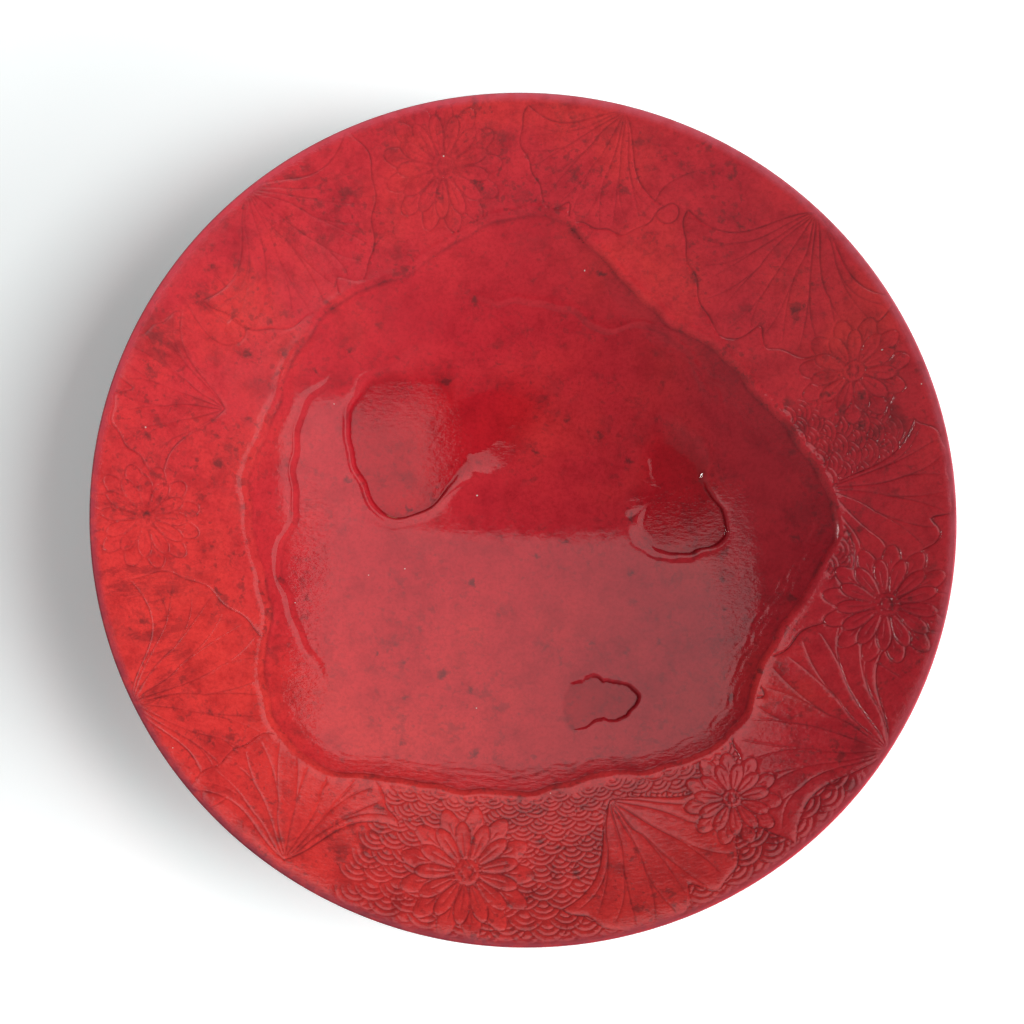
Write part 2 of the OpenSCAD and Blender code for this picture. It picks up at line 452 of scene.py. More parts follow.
def glaze(name, look):
    made, tree = newMaterial(name)
    shader = tree.nodes["Principled BSDF"]
    place = tree.nodes.new("ShaderNodeTexCoord").outputs["Object"]
    axes = addNode(tree, "ShaderNodeSeparateXYZ", {"Vector": place})

    def noise(kind, at=place):
        return cloud(tree, at, *glazeNoise[kind]).outputs["Fac"]

    reds = (look["deep"], look["body"], look["warm"])
    colour = ramp(tree, noise("broad"), list(zip(look["redAt"], reds)))
    # brighter orange-red towards the lower left, partly the glaze's tone and partly painted light
    lowLeft = vector(tree, "DOT_PRODUCT", place, look["paintedLightWay"])
    hotAndPaintedLightShare = span(tree, lowLeft, 0.0, look["paintedLightTo"] * mm, 0.0, look["glow"])
    colour = blendColour(tree, hotAndPaintedLightShare, colour, look["hotAndPaintedLight"])
    for kind in ("mottle", "grain"):
        tints = ramp(tree, noise(kind), look[kind + "Tints"])
        colour = blendColour(tree, look[kind], colour, tints, "MULTIPLY")

    # streaks that run down the wall towards the middle
    sources = {"X": axes.outputs["X"], "Y": axes.outputs["Y"]}
    flat = addNode(tree, "ShaderNodeCombineXYZ", sources).outputs[0]
    away = vector(tree, "LENGTH", flat)
    turnAxes = addNode(tree, "ShaderNodeSeparateXYZ", {"Vector": vector(tree, "NORMALIZE", flat)})
    wall = {axis: times(tree, turnAxes.outputs[axis], look["streakRound"]) for axis in ("X", "Y")}
    wall["Z"] = times(tree, away, look["streakDown"])
    downWall = addNode(tree, "ShaderNodeCombineXYZ", wall).outputs[0]
    streak = span(tree, noise("streaks", downWall), *look["streakRange"])
    patch = span(tree, noise("streakPatches"), *look["streakPatches"])
    outward = span(tree, away, look["streakFrom"] * mm, look["streakTo"] * mm)
    left, right = look["streakLeft"]
    leftward = span(tree, axes.outputs["X"], left * mm, right * mm, 1.0, look["streakFew"])
    outward = times(tree, outward, leftward)
    streak = times(tree, times(tree, streak, patch), times(tree, outward, look["streaks"]))
    colour = blendColour(tree, streak, colour, look["stain"])

    # smudges and peppering of iron, larger specks, and pale dots painted as glints in pinholes
    patches = times(tree, noise("iron"), times(tree, shadeOf(tree, "soot"), look["soot"]), "ADD")
    crowd = span(tree, patches, *look["ironRange"], look["ironFew"] * look["iron"], look["iron"])
    for blot in look["blots"]:
        ragged = cloud(tree, place, blot["scale"], blot["detail"], blot["rough"], blot["seed"])
        weight = times(tree, crowd, blot["strength"])
        share = times(tree, span(tree, ragged.outputs["Fac"], blot["from"], blot["to"]), weight)
        colour = blendColour(tree, share, colour, look["speck"])
    spotted = span(tree, patches, *look["ironRange"], *look["spotted"])
    share = times(tree, specks(tree, place, look["spots"]), spotted)
    colour = blendColour(tree, share, colour, look["speck"])
    # painted glints: pale dots where pinholes would catch the light
    colour = blendColour(tree, specks(tree, place, look["paintedGlintSpots"]), colour, look["paintedGlint"])

    # dark glaze lying in the cut lines
    patchy = span(tree, noise("lines"), *look["lineRange"])
    share = times(tree, times(tree, shadeOf(tree, "stain"), patchy), look["lines"])
    colour = blendColour(tree, share, colour, look["stain"])

    # thin and duller glaze on the lip, with painted shade at the lower left and a painted highlight at the
    # upper right
    broken = span(tree, noise("lip"), *look["lipRange"])
    lipStart = (rimR - look["lipFrom"]) * mm
    lipShare = span(tree, away, lipStart, (rimR - look["lipTo"]) * mm, 0.0, look["lip"])
    upRight = times(tree, turnAxes.outputs["X"], turnAxes.outputs["Y"], "ADD")
    upRight = times(tree, times(tree, upRight, halfOfRoot), 0.5, "ADD")
    lipTintAndPaintedLight = ramp(tree, upRight, [(0.0, look["lipPaintedShade"]), (0.5, look["lipRed"]), (1.0, look["lipPaintedHighlight"])])
    colour = blendColour(tree, times(tree, lipShare, broken), colour, lipTintAndPaintedLight)

    # painted shade: the pond darker and cooler towards its right side, which faces away from the key lamp
    near, far = look["paintedShadeSide"]
    paintedShade = span(tree, axes.outputs["X"], near * mm, far * mm, 0.0, look["paintedShade"])
    colour = blendColour(tree, paintedShade, colour, look["paintedShadeTint"], "MULTIPLY")
    colour = blendColour(tree, shadeOf(tree, "pooled"), colour, look["pooled"], "MULTIPLY")
    tree.links.new(colour, shader.inputs["Base Color"])

    rough = span(tree, noise("rough"), *look["roughRange"], *look["rough"])
    rough = times(tree, rough, times(tree, lipShare, look["lipRough"]), "ADD")
    tree.links.new(rough, shader.inputs["Roughness"])
    shader.inputs["IOR"].default_value = look["ior"]

    # a slow swim, an orange peel and short tool marks
    slow = addNode(tree, "ShaderNodeBump", {"Height": noise("swim")}, Strength=look["swim"])
    slow.inputs["Distance"].default_value = look["swimHigh"] * mm
    sources = {"Height": noise("peel"), "Normal": slow.outputs["Normal"]}
    peel = addNode(tree, "ShaderNodeBump", sources, Strength=look["peel"])
    peel.inputs["Distance"].default_value = look["peelHigh"] * mm
    dashes = vector(tree, "MULTIPLY", place, look["toothLong"])
    sources = {"Height": noise("tooth", dashes), "Normal": peel.outputs["Normal"]}
    sources["Strength"] = shadeOf(tree, "comb")
    tooled = addNode(tree, "ShaderNodeBump", sources, Distance=look["toothHigh"] * mm)
    tree.links.new(tooled.outputs["Normal"], shader.inputs["Normal"])
    return made


bareBuff = {
    "broad": (40, 4, 0.6, 1.0),     # cells per metre, detail, roughness and seed, as for the glaze
    "dark": (0.42, 0.29, 0.19),
    "pale": (0.58, 0.44, 0.31),
    "darkAt": 0.3,
    "paleAt": 0.7,
    "grog": (0.20, 0.12, 0.08),
    "grogSpots": {"cells": 620, "size": 0.4, "share": 0.5, "ragged": 0.35, "fuzzy": 0.6, "seed": 1},
    "grogShare": 0.6,
    "toast": (0.42, 0.17, 0.07),
    "flashFrom": 1.5,               # mm above the table
    "flashTo": 6.5,
    "flash": 0.7,
    "rough": (0.2, 0.8, 0.7, 0.92),
    "sand": (1500, 3, 0.7, 2.0),
    "sandBump": 0.35,
    "sandHigh": 0.3,
}


def bareClay(name, look):
    made, tree = newMaterial(name)
    shader = tree.nodes["Principled BSDF"]
    place = tree.nodes.new("ShaderNodeTexCoord").outputs["Object"]
    axes = addNode(tree, "ShaderNodeSeparateXYZ", {"Vector": place})
    broad = cloud(tree, place, *look["broad"]).outputs["Fac"]
    colour = ramp(tree, broad, [(look["darkAt"], look["dark"]), (look["paleAt"], look["pale"])])
    grog = times(tree, specks(tree, place, look["grogSpots"]), look["grogShare"])
    colour = blendColour(tree, grog, colour, look["grog"])
    low, high = look["flashFrom"] * mm, look["flashTo"] * mm
    flash = span(tree, axes.outputs["Z"], low, high, 0.0, look["flash"])
    colour = blendColour(tree, flash, colour, look["toast"])
    tree.links.new(colour, shader.inputs["Base Color"])
    tree.links.new(span(tree, broad, *look["rough"]), shader.inputs["Roughness"])
    sand = cloud(tree, place, *look["sand"]).outputs["Fac"]
    bump = addNode(tree, "ShaderNodeBump", {"Height": sand}, Strength=look["sandBump"])
    bump.inputs["Distance"].default_value = look["sandHigh"] * mm
    tree.links.new(bump.outputs["Normal"], shader.inputs["Normal"])
    return made


bankRed = glaze("bankRed", redGlaze)
pondLook = {
    **redGlaze,
    "deep": (0.505, 0.017, 0.029),
    "body": (0.565, 0.022, 0.033),
    "warm": (0.62, 0.029, 0.033),
    # the pond takes less of the lower-left orange-red and its painted light
    "glow": 0.3,
    "streaks": 0.2,
    "lip": 0.0,
    "paintedShade": 0.78,
    "iron": 0.36,
    "mottle": 0.5,
    "rough": (0.03, 0.08),
    "swim": 0.07,
    "peel": 0.06,
}
pondRed = glaze("pondRed", pondLook)
poolRed = glaze("poolRed", {**pondLook, "peel": 0.12})
outsideRed = glaze("outsideRed", {**redGlaze, "streaks": 0.8, "streakFrom": 60, "lip": 0.5})
buffClay = bareClay("buffClay", bareBuff)
slipLook = {
    **bareBuff,
    "dark": (0.36, 0.32, 0.27),
    "pale": (0.46, 0.42, 0.36),
    "grog": (0.25, 0.22, 0.18),
    "toast": (0.4, 0.3, 0.22),
    "flashFrom": 15,
    "flashTo": 25,
    "flash": 0.2,
}
jointSlip = bareClay("jointSlip", slipLook)
print("materials made")


# carving of the bank: fan leaves, rosettes, curls and a ground of scale waves, all in plan

carving = {
    "step": 0.3,         # mm between points along a cut
    "longestStep": 3,    # steps: where points lie further apart the cut breaks off
    "fewest": 4,         # points of the shortest cut
    "width": 0.35,       # mm from a cut's middle to where it is a third as deep
    "depth": 0.36,
    "nearRow": 0.36,     # mm from a cut's middle to the points beside it
    "farRow": 0.85,
    "groundStride": 3,   # steps between points that go into the mesh
    "motifStride": 4,
    "swell": 0.09,       # how far leaves and petals stand out
    "swellEdge": 2.2,    # mm over which they round off, and over which they fade at the lip and the pond
    "swellOut": 6,
    "swellIn": 4,
    "shallow": 135,      # direction in which the cuts are shallowest, from wear and thick glaze
    "worn": 0.84,
    "wornSide": 0.21,
    "inEdge": 2.2,       # kept clear of the pond's step
    "outEdge": 198.0,    # kept clear of the lip's edge
    "lipFrom": 193.0,    # from here to the lip the cuts get shallower
    "lipTo": 197.0,
    "lipCut": 0.45,
}


def polarSpot(r, turn):
    return np.array([r * math.cos(math.radians(turn)), r * math.sin(math.radians(turn))])


def evenSteps(line, step):
    run = np.concatenate([[0], np.cumsum(np.hypot(*np.diff(line, axis=0).T))])
    places = np.linspace(0, run[-1], max(2, int(run[-1] / step) + 1))
    return np.stack([np.interp(places, run, line[:, i]) for i in (0, 1)], 1)


def insideOutline(points, outline):
    x, y = points.T
    found = np.zeros(len(points), bool)
    low, high = outline.min(0), outline.max(0)
    near = np.nonzero((x >= low[0]) & (x <= high[0]) & (y >= low[1]) & (y <= high[1]))[0]
    if len(near) == 0:
        return found
    odd = np.zeros(len(near), bool)
    for (ax, ay), (bx, by) in zip(outline, np.roll(outline, -1, axis=0)):
        if ay == by:
            continue
        crosses = (ay > y[near]) != (by > y[near])
        odd ^= crosses & (x[near] < (bx - ax) * (y[near] - ay) / (by - ay) + ax)
    found[near] = odd
    return found


leaves = [  # r and turn of the stem's end, lean from straight in (or out), reach, spread
    {"r": 200, "turn": 207, "aim": 172, "reach": 66, "spread": 150, "veins": 8},
    {"r": 194, "turn": 236, "aim": 205, "reach": 58, "spread": 128, "veins": 7},
    {"r": 138, "turn": 287, "aim": 24, "reach": 62, "spread": 132, "veins": 7},
    {"r": 199, "turn": 326, "aim": 186, "reach": 68, "spread": 146, "veins": 8},
    {"r": 146, "turn": 6, "aim": -28, "reach": 54, "spread": 120, "veins": 6},
    {"r": 198, "turn": 46, "aim": 198, "reach": 64, "spread": 140, "veins": 8},
    {"r": 197, "turn": 76, "aim": 160, "reach": 52, "spread": 120, "veins": 7},
    {"r": 199, "turn": 131, "aim": 190, "reach": 62, "spread": 146, "veins": 8},
    {"r": 150, "turn": 160, "aim": 14, "reach": 50, "spread": 118, "veins": 6},
]
fan = {
    "points": 60,
    "edgePoints": 240,
    "droop": 0.10,          # how much shorter the sides are
    "lobe": 0.028,          # heights and counts of the wavy edge
    "lobes": 9,
    "ruffle": 0.014,
    "ruffles": 25,
    "notch": 0.15,
    "notchWide": 0.06,
    "bend": 0.22,
    "veinsTo": 0.84,
    "veinFrom": 0.04,
    "fork": 0.52,           # where along it a vein forks, and how that strays
    "forkStray": 0.12,
    "forkTurn": 2.1,
    "bow": 0.09,
    "bowTurn": 1.7,
    "branch": 0.5,
    "branchCurve": 1.5,
    "branchTo": 0.93,
    "trunkCut": (0.8, 0.65),
    "branchCut": (0.65, 0.35),
}


def fanLeaf(leaf):
    stem = polarSpot(leaf["r"], leaf["turn"])
    aim = math.radians(leaf["turn"] + leaf["aim"])
    half = math.radians(leaf["spread"]) / 2

    def spot(share, along):  # share -1 to 1 across the fan, along 0 to 1 out from the stem
        share, along = np.broadcast_arrays(np.asarray(share, float), np.asarray(along, float))
        edge = 1 - fan["droop"] * share**2
        edge = edge + fan["lobe"] * np.cos(fan["lobes"] * share + leaf["turn"])
        edge = edge + fan["ruffle"] * np.sin(fan["ruffles"] * share)
        edge = leaf["reach"] * (edge - fan["notch"] * mound(share, fan["notchWide"]))
        turns = aim + half * share * (1 - fan["bend"] * np.sin(math.pi * along) * np.abs(share))
        return np.stack([stem[0] + edge * along * np.cos(turns), stem[1] + edge * along * np.sin(turns)], 1)

    run = np.linspace(0, 1, fan["points"])
    top = spot(np.linspace(-1, 1, fan["edgePoints"]), 1)
    outline = np.concatenate([spot(-1, run), top, spot(1, run[::-1])])
    strokes = [(evenSteps(outline, carving["step"]), 1.0)]
    for j, share in enumerate(np.linspace(-fan["veinsTo"], fan["veinsTo"], leaf["veins"])):
        fork = fan["fork"] + fan["forkStray"] * math.sin(fan["forkTurn"] * j + leaf["turn"])
        bow = fan["bow"] * math.sin(fan["bowTurn"] * j + leaf["reach"])
        along = fan["veinFrom"] + (fork - fan["veinFrom"]) * run
        lines = [(spot(share + bow * np.sin(math.pi * run), along), fan["trunkCut"])]
        for side in (-1, 1):
            branch = share + side * fan["branch"] / leaf["veins"] * run ** fan["branchCurve"]
            lines.append((spot(branch, fork + (fan["branchTo"] - fork) * run), fan["branchCut"]))
        for line, (start, end) in lines:
            line = evenSteps(line, carving["step"])
            strokes.append((line, np.linspace(start, end, len(line))))
    return {"outline": outline, "strokes": strokes, "swell": 1.0}


rosettes = [
    {"r": 168, "turn": 261, "size": 24, "petals": 13},
    {"r": 163, "turn": 306, "size": 17, "petals": 11},
    {"r": 174, "turn": 346, "size": 22, "petals": 13},
    {"r": 171, "turn": 24, "size": 19, "petals": 11},
    {"r": 172, "turn": 103, "size": 22, "petals": 13},
    {"r": 176, "turn": 181, "size": 19, "petals": 12},
]
petals = {
    "points": 40,
    "rows": ((1.3, 0.5), (1.0, 0.0)),   # reach of each row, and its shift in petals
    "full": 0.95,
    "narrow": 0.2,
    "blunt": 0.55,
    "heart": 0.26,         # where petals start, as a share of the rosette's size
    "cut": 0.75,
    "swell": 0.8,
    "rib": slice(4, 26),   # the points that a petal's middle line runs along
    "ribCut": 0.4,
    "eye": 0.25,
    "seeds": 6,
    "seedsAt": 0.13,
    "seed": 0.5,
    "seedCut": 0.8,
}


def rosetteParts(flower):
    middle = polarSpot(flower["r"], flower["turn"])
    count, size = flower["petals"], flower["size"]
    run = np.linspace(0, 1, petals["points"])
    narrow, heart = petals["narrow"], petals["heart"]
    belly = np.sin(math.pi * (narrow + (1 - narrow) * run)) ** petals["blunt"]
    wide = math.pi / count * petals["full"] * belly
    parts = []
    for grow, shift in petals["rows"]:
        outline, strokes = [], []
        r = size * grow * (heart + (1 - heart) * run)
        rib = r[petals["rib"]]
        for k in range(count):
            turn = 2 * math.pi * (k + shift) / count + math.radians(flower["turn"])
            sides = []
            for turns in (turn - wide, turn + wide):
                sides.append(np.stack([middle[0] + r * np.cos(turns), middle[1] + r * np.sin(turns)], 1))
            petal = np.concatenate([sides[0], sides[1][::-1]])
            outline.append(petal)
            strokes.append((evenSteps(petal, carving["step"]), petals["cut"]))
            ribLine = np.stack([middle[0] + rib * math.cos(turn), middle[1] + rib * math.sin(turn)], 1)
            strokes.append((evenSteps(ribLine, carving["step"]), petals["ribCut"]))
        parts.append({"outline": np.concatenate(outline), "strokes": strokes, "swell": petals["swell"]})
    ring = arc(middle, size * petals["eye"], 0, 2 * math.pi, 60)
    strokes = [(ring, 1.0)]
    for k in range(petals["seeds"]):
        spot = middle + polarSpot(size * petals["seedsAt"], 360 / petals["seeds"] * k)
        strokes.append((arc(spot, petals["seed"], 0, 2 * math.pi, 8), petals["seedCut"]))
    parts.append({"outline": ring, "strokes": strokes, "swell": 1.0})
    return parts


curls = [  # start, heading, length, and how tightly it winds up
    {"r": 190, "turn": 219, "heading": 330, "length": 60, "wind": 0.30},
    {"r": 150, "turn": 268, "heading": 200, "length": 46, "wind": -0.34},
    {"r": 188, "turn": 62, "heading": 190, "length": 60, "wind": 0.30},
    {"r": 186, "turn": 116, "heading": 270, "length": 54, "wind": -0.32},
    {"r": 188, "turn": 148, "heading": 300, "length": 58, "wind": 0.30},
    {"r": 188, "turn": 336, "heading": 140, "length": 50, "wind": 0.32},
    {"r": 186, "turn": 193, "heading": 20, "length": 44, "wind": -0.36},
]
curlStep = 0.5
curlPower = 1.6
curlCut = (0.6, 0.9)


def curlLine(curl):
    spot = polarSpot(curl["r"], curl["turn"])
    heading = math.radians(curl["heading"])
    line = [spot]
    steps = int(curl["length"] / curlStep)
    for i in range(steps):
        heading += curl["wind"] * curlStep * (i / steps) ** curlPower
        spot = spot + curlStep * np.array([math.cos(heading), math.sin(heading)])
        line.append(spot)
    line = evenSteps(np.array(line), carving["step"])
    return (line, np.linspace(*curlCut, len(line)))


waves = {
    "count": 66,
    "rows": 22,
    "from": 128,
    "arcs": (1.0, 0.7, 0.4),
    "sectors": [(244, 320, 200), (350, 384, 176)],   # from and to in degrees, and how far out
    "overlap": 1.02,
    "half": 2.2,       # half of a full scale's arc
    "depth": 0.85,
    "stray": 0.12,
}


def waveLines():
    found = []
    half = math.pi / waves["count"]
    r = waves["from"]
    for row in range(waves["rows"]):
        big = r * half * waves["overlap"]
        for k in range(waves["count"]):
            stray = waves["stray"] * math.sin(2.3 * k + 1.7 * row) * math.cos(1.1 * k - 2.9 * row)
            turn = 2 * half * (k + (row % 2) * 0.5 + stray)
            degrees = math.degrees(turn)
            sectors = [(a, b) for a, b, reach in waves["sectors"] if r < reach]
            if not any(a <= d <= b for a, b in sectors for d in (degrees, degrees + 360)):
                continue
            spot = (r + big * stray) * np.array([math.cos(turn), math.sin(turn)])
            before = [(r - big / 2, turn - half), (r - big / 2, turn + half), (r - big, turn)]
            before = [d * np.array([math.cos(t), math.sin(t)]) for d, t in before]
            for share in waves["arcs"]:
                steps = max(8, int(2 * waves["half"] * big * share / carving["step"]))
                line = arc(spot, big * share, turn - waves["half"], turn + waves["half"], steps)
                for other in before:
                    line = line[np.hypot(*(line - other).T) > big]
                if len(line) >= carving["fewest"]:
                    found.append((line, waves["depth"]))
        r += big / 2
    return found


motifs = [{"outline": None, "strokes": waveLines(), "swell": 0}]
motifs.append({"outline": None, "strokes": [curlLine(c) for c in curls], "swell": 0})
motifs += [fanLeaf(leaf) for leaf in leaves]
for flower in rosettes:
    motifs += rosetteParts(flower)

cutSpots, cutDepths, cutRows = [], [], [[], [], []]
for order, motif in enumerate(motifs):
    drawn = np.concatenate([line for line, _ in motif["strokes"]])
    r, turn = polar(drawn)
    shown = (r > pondEdge(turn) + carving["inEdge"]) & (r < carving["outEdge"])
    for above in motifs[order + 1:]:
        if above["outline"] is not None:
            shown &= ~insideOutline(drawn, above["outline"])
    worn = carving["worn"] - carving["wornSide"] * np.cos(turn - math.radians(carving["shallow"]))
    worn *= 1 - (1 - carving["lipCut"]) * soft(r, carving["lipFrom"], carving["lipTo"])
    ends = np.cumsum([len(line) for line, _ in motif["strokes"]])[:-1]
    longest = carving["longestStep"] * carving["step"]
    stride = carving["groundStride"] if order == 0 else carving["motifStride"]
    for (line, depth), keep, wear in zip(motif["strokes"], np.split(shown, ends), np.split(worn, ends)):
        depth = depth * wear
        joined = keep[1:] & keep[:-1] & (np.hypot(*np.diff(line, axis=0).T) < longest)
        for run in np.split(np.arange(len(line)), np.nonzero(~joined)[0] + 1):
            if len(run) < carving["fewest"]:
                continue
            cutSpots.append(line[run])
            cutDepths.append(depth[run])
            along = np.gradient(line[run], axis=0)
            side = np.stack([-along[:, 1], along[:, 0]], 1) / np.hypot(*along.T)[:, None]
            few = np.unique(np.append(np.arange(0, len(run), stride), len(run) - 1))
            middle, side = line[run][few], side[few]
            cutRows[0].append(middle)
            cutRows[1] += [middle + carving["nearRow"] * side, middle - carving["nearRow"] * side]
            if order > 0:
                cutRows[2] += [middle + carving["farRow"] * side, middle - carving["farRow"] * side]
cutSpots, cutDepths = np.concatenate(cutSpots), np.concatenate(cutDepths)
cutTree = nearTree(cutSpots)
print("carving drawn:", len(cutSpots), "points")


def cutNear(points):
    found = [cutTree.find((x, y, 0))[1:] for x, y in points[:, :2]]
    return np.array([f[0] for f in found]), np.array([f[1] for f in found])


# bank: the coat from the pond's step over the lip, its carved field laid as one sheet between two rings

bank = {
    "turns": 360,
    "stepWidth": 2.2,
    "stepDrop": 0.75,
    "stepRings": 9,
    "stepCurve": 1.6,
    "wallDeep": 2.6,    # how far the coat goes down behind the step
    "wallThick": 0.9,
    "wallClear": 0.03,
    "lipGap": 0.5,      # from the lip's round to the first ring under the coat
    "bayFrom": 0.01,    # mm past the field's start, so that the ring there keeps the bays in full
    "bayTo": 180,       # where the pond's bays have faded out
    "fieldFrom": 1.0,   # mm outside the pond's edge
    "fieldTo": 198.4,
    "fieldGap": 2.2,    # mm between points where nothing is cut
    "cutClear": 1.25,   # such points keep this far from a cut
    "inClear": 0.7,     # and all keep this far from the two rings
    "outClear": 0.3,
    "apart": 0.24,      # least gap between points
    "ringMerge": 0.02,
    "rimTilt": 26,      # degrees that the top of the lip leans in
    "rimRound": 0.8,    # round of its outer edge
    "rimBlend": 0.66,
    "edgeRows": (0.8, 1.6, 2.5, 3.6),   # rows of points along the rounded edge, mm past the first
    "openDepth": 0.12,  # what lies no deeper than this, and between these edges, is on the open side
    "openIn": 0.5,
    "openOut": 0.2,
    "tooled": 0.12,     # strength of the tool marks, and how much stronger they get outwards
    "tooledMore": 0.1,
    "tooledRange": (150, 190),
}
rowShare = 0.866        # height of an even triangle, in sides
tiny = 1e-5             # mm, within which the sheet's points count as one
rimTilt = math.radians(bank["rimTilt"])
edgeAt = (rimR - bank["rimRound"], dish["height"] - bank["rimRound"])
edgeIn = edgeAt[0] - bank["rimRound"] * math.sin(rimTilt)
edgeUp = edgeAt[1] + bank["rimRound"] * math.cos(rimTilt)


def rimZ(r):  # the bowl's curve, eased into the thin top of the lip
    curve = bowlZ(r, 0)
    top = edgeUp + (r - edgeIn) * math.tan(rimTilt)
    near = np.clip(1 - np.abs(curve - top) / bank["rimBlend"], 0, None)
    return np.minimum(curve, top) - bank["rimBlend"] / 4 * near**2


stepLine = []
for share in np.linspace(1, 0, bank["stepRings"]):
    down = bank["stepDrop"] * share ** bank["stepCurve"]
    stepLine.append((dish["pond"] - bank["stepWidth"] * share, down))
stepLine.append((dish["pond"] + bank["fieldFrom"], 0))
touchTurn = innerEnd + math.pi
touchR = lipX + lipR * math.cos(touchTurn)
topR = np.linspace(bank["fieldTo"], edgeIn, 4)[:-1]
rimTop = np.stack([topR, rimZ(topR)], 1)
rimEdge = arc(edgeAt, bank["rimRound"], math.pi / 2 + rimTilt, 0, 8)
lipSide = arc((lipX, lipZ), lipR, 0, outerEnd, 8)
lipUnder = arc((lipX, lipZ), lipR - coat, outerEnd, touchTurn, 8)
underLine = np.array([(r, bowlZ(r, coat)) for r in np.linspace(touchR + bank["lipGap"], dish["pond"], 9)])
wallR = dish["pond"] - bank["wallThick"]
wallFoot = [
    (dish["pond"], bank["wallDeep"]),
    (wallR, bank["wallDeep"]),
    (wallR, bank["stepDrop"] + bank["wallClear"]),
]
stepFace = np.array([(r, bowlZ(r, d)) for r, d in wallFoot + stepLine])
section = np.concatenate([rimTop, rimEdge, lipSide, lipUnder, underLine, stepFace])
bankPiece = spinLine("bankGlaze", section, bank["turns"])

points = readPoints(bankPiece)
r, turn = polar(points)
drop = np.hypot(r, innerZ - points[:, 2]) - innerR
pull = 1 - soft(r, dish["pond"] + bank["fieldFrom"] + bank["bayFrom"], bank["bayTo"])
newR = r + (pondEdge(turn) - dish["pond"]) * pull
points[:, 0], points[:, 1] = newR * np.cos(turn), newR * np.sin(turn)
points[:, 2] = np.where(pull > 0, bowlZ(newR, drop), points[:, 2])
writePoints(bankPiece, points)

spinTurns = np.radians(np.arange(bank["turns"]) * 360 / bank["turns"])
rounds = np.stack([np.cos(spinTurns), np.sin(spinTurns)], 1)
ringIn = (pondEdge(spinTurns) + bank["fieldFrom"])[:, None] * rounds
ringOut = bank["fieldTo"] * rounds
gap = bank["fieldGap"]
gridY, gridX = np.mgrid[-rimR:rimR:gap * rowShare, -rimR:rimR:gap]
gridX[1::2] += gap / 2
ground = np.stack([gridX.ravel(), gridY.ravel()], 1)
ground = ground[cutNear(ground)[1] > bank["cutClear"]]
edgeRows = [(pondEdge(spinTurns) + bank["fieldFrom"] + past)[:, None] * rounds for past in bank["edgeRows"]]
field = np.concatenate(edgeRows + [np.concatenate(rows) for rows in cutRows] + [ground])
r, turn = polar(field)
clear = r > pondEdge(turn) + bank["fieldFrom"] + bank["inClear"]
clear &= r < bank["fieldTo"] - bank["outClear"]
field = np.concatenate([ringIn, ringOut, field[clear]])
crowding = nearTree(field)
keep = np.ones(len(field), bool)
for i, (x, y) in enumerate(field):  # earlier points win: rings, then middles of cuts, then their sides
    if keep[i]:
        for _, other, _ in crowding.find_range((x, y, 0), bank["apart"]):
            keep[other] &= other <= i
field = field[keep]
count = bank["turns"]
loops = []
for first in (0, count):
    loops += [(first + k, first + (k + 1) % count) for k in range(count)]
flat, _, faces, _, _, _ = geometry.delaunay_2d_cdt([Vector(v) for v in field], loops, [], 0, tiny)
flat = np.array(flat)
middles = np.array([flat[f].mean(0) for f in faces])
faces = [f for f, outside in zip(faces, ~insideOutline(middles, ringIn)) if outside]
heights = rimZ(np.hypot(*flat.T))
sheet = bpy.data.meshes.new("bankField")
sheet.from_pydata(np.column_stack([flat, heights]) * mm, [], faces)
fieldPiece = bpy.data.objects.new("bankField", sheet)
bpy.context.scene.collection.objects.link(fieldPiece)
makeActive(bankPiece)
fieldPiece.select_set(True)
bpy.ops.object.join()
bpy.context.tool_settings.mesh_select_mode = (True, False, False)
bpy.ops.object.mode_set(mode="EDIT")
bpy.ops.mesh.select_all(action="SELECT")
bpy.ops.mesh.remove_doubles(threshold=bank["ringMerge"] * mm)
bpy.ops.mesh.normals_make_consistent(inside=False)
bpy.ops.object.mode_set(mode="OBJECT")
print("bank laid:", len(bankPiece.data.polygons), "faces")

points = readPoints(bankPiece)
r, turn = polar(points)
outward = r - pondEdge(turn)
top = points[:, 2] > rimZ(r) - bank["openDepth"]
top &= (r > pondEdge(turn) - bank["openIn"]) & (r < edgeIn - bank["openOut"])
places = np.nonzero(top)[0]
nearest, gap = cutNear(points[places])
groove = np.zeros(len(points))
groove[places] = cutDepths[nearest] * mound(gap, carving["width"])
swell = np.zeros(len(points))
taken = np.zeros(len(points), bool)
for motif in reversed(motifs):
    if motif["outline"] is None:
        continue
    inside = insideOutline(points[:, :2], motif["outline"]) & top & ~taken
    taken |= inside
    edge = nearTree(motif["outline"])
    for i in np.nonzero(inside)[0]:
        away = edge.find((points[i, 0], points[i, 1], 0))[2]
        swell[i] = motif["swell"] * (1 - math.exp(-away / carving["swellEdge"]))
swell *= soft(carving["outEdge"] + 1 - r, 0, carving["swellOut"])
swell *= soft(outward - bank["openIn"], 0, carving["swellIn"])

beadLook = {
    "rise": 0.5,        # of the rounded edge along the pond
    "wide": 1.35,
    "at": 1.2,          # mm outside the pond's edge
    "boldAt": 300,      # direction in which it is boldest
    "boldRange": (-0.5, 0.9),
    "least": 0.6,       # its boldness on the far side
    "deepest": 0.6,     # mm below the bowl's curve
    "upTo": 175,        # mm from the axis
    "stain": 0.55,      # dark glaze along the foot of the step
    "stainWide": 0.9,
    "soot": 0.8,
    "sootWide": 7,
}
drop = np.hypot(r, innerZ - points[:, 2]) - innerR
towards = np.cos(turn - math.radians(beadLook["boldAt"]))
bold = beadLook["least"] + (1 - beadLook["least"]) * soft(towards, *beadLook["boldRange"])
bead = mound(outward - beadLook["at"], beadLook["wide"] * (0.65 + 0.5 * bold)) * (0.4 + 0.6 * bold)
bead *= (drop < beadLook["deepest"]) & (r < beadLook["upTo"])
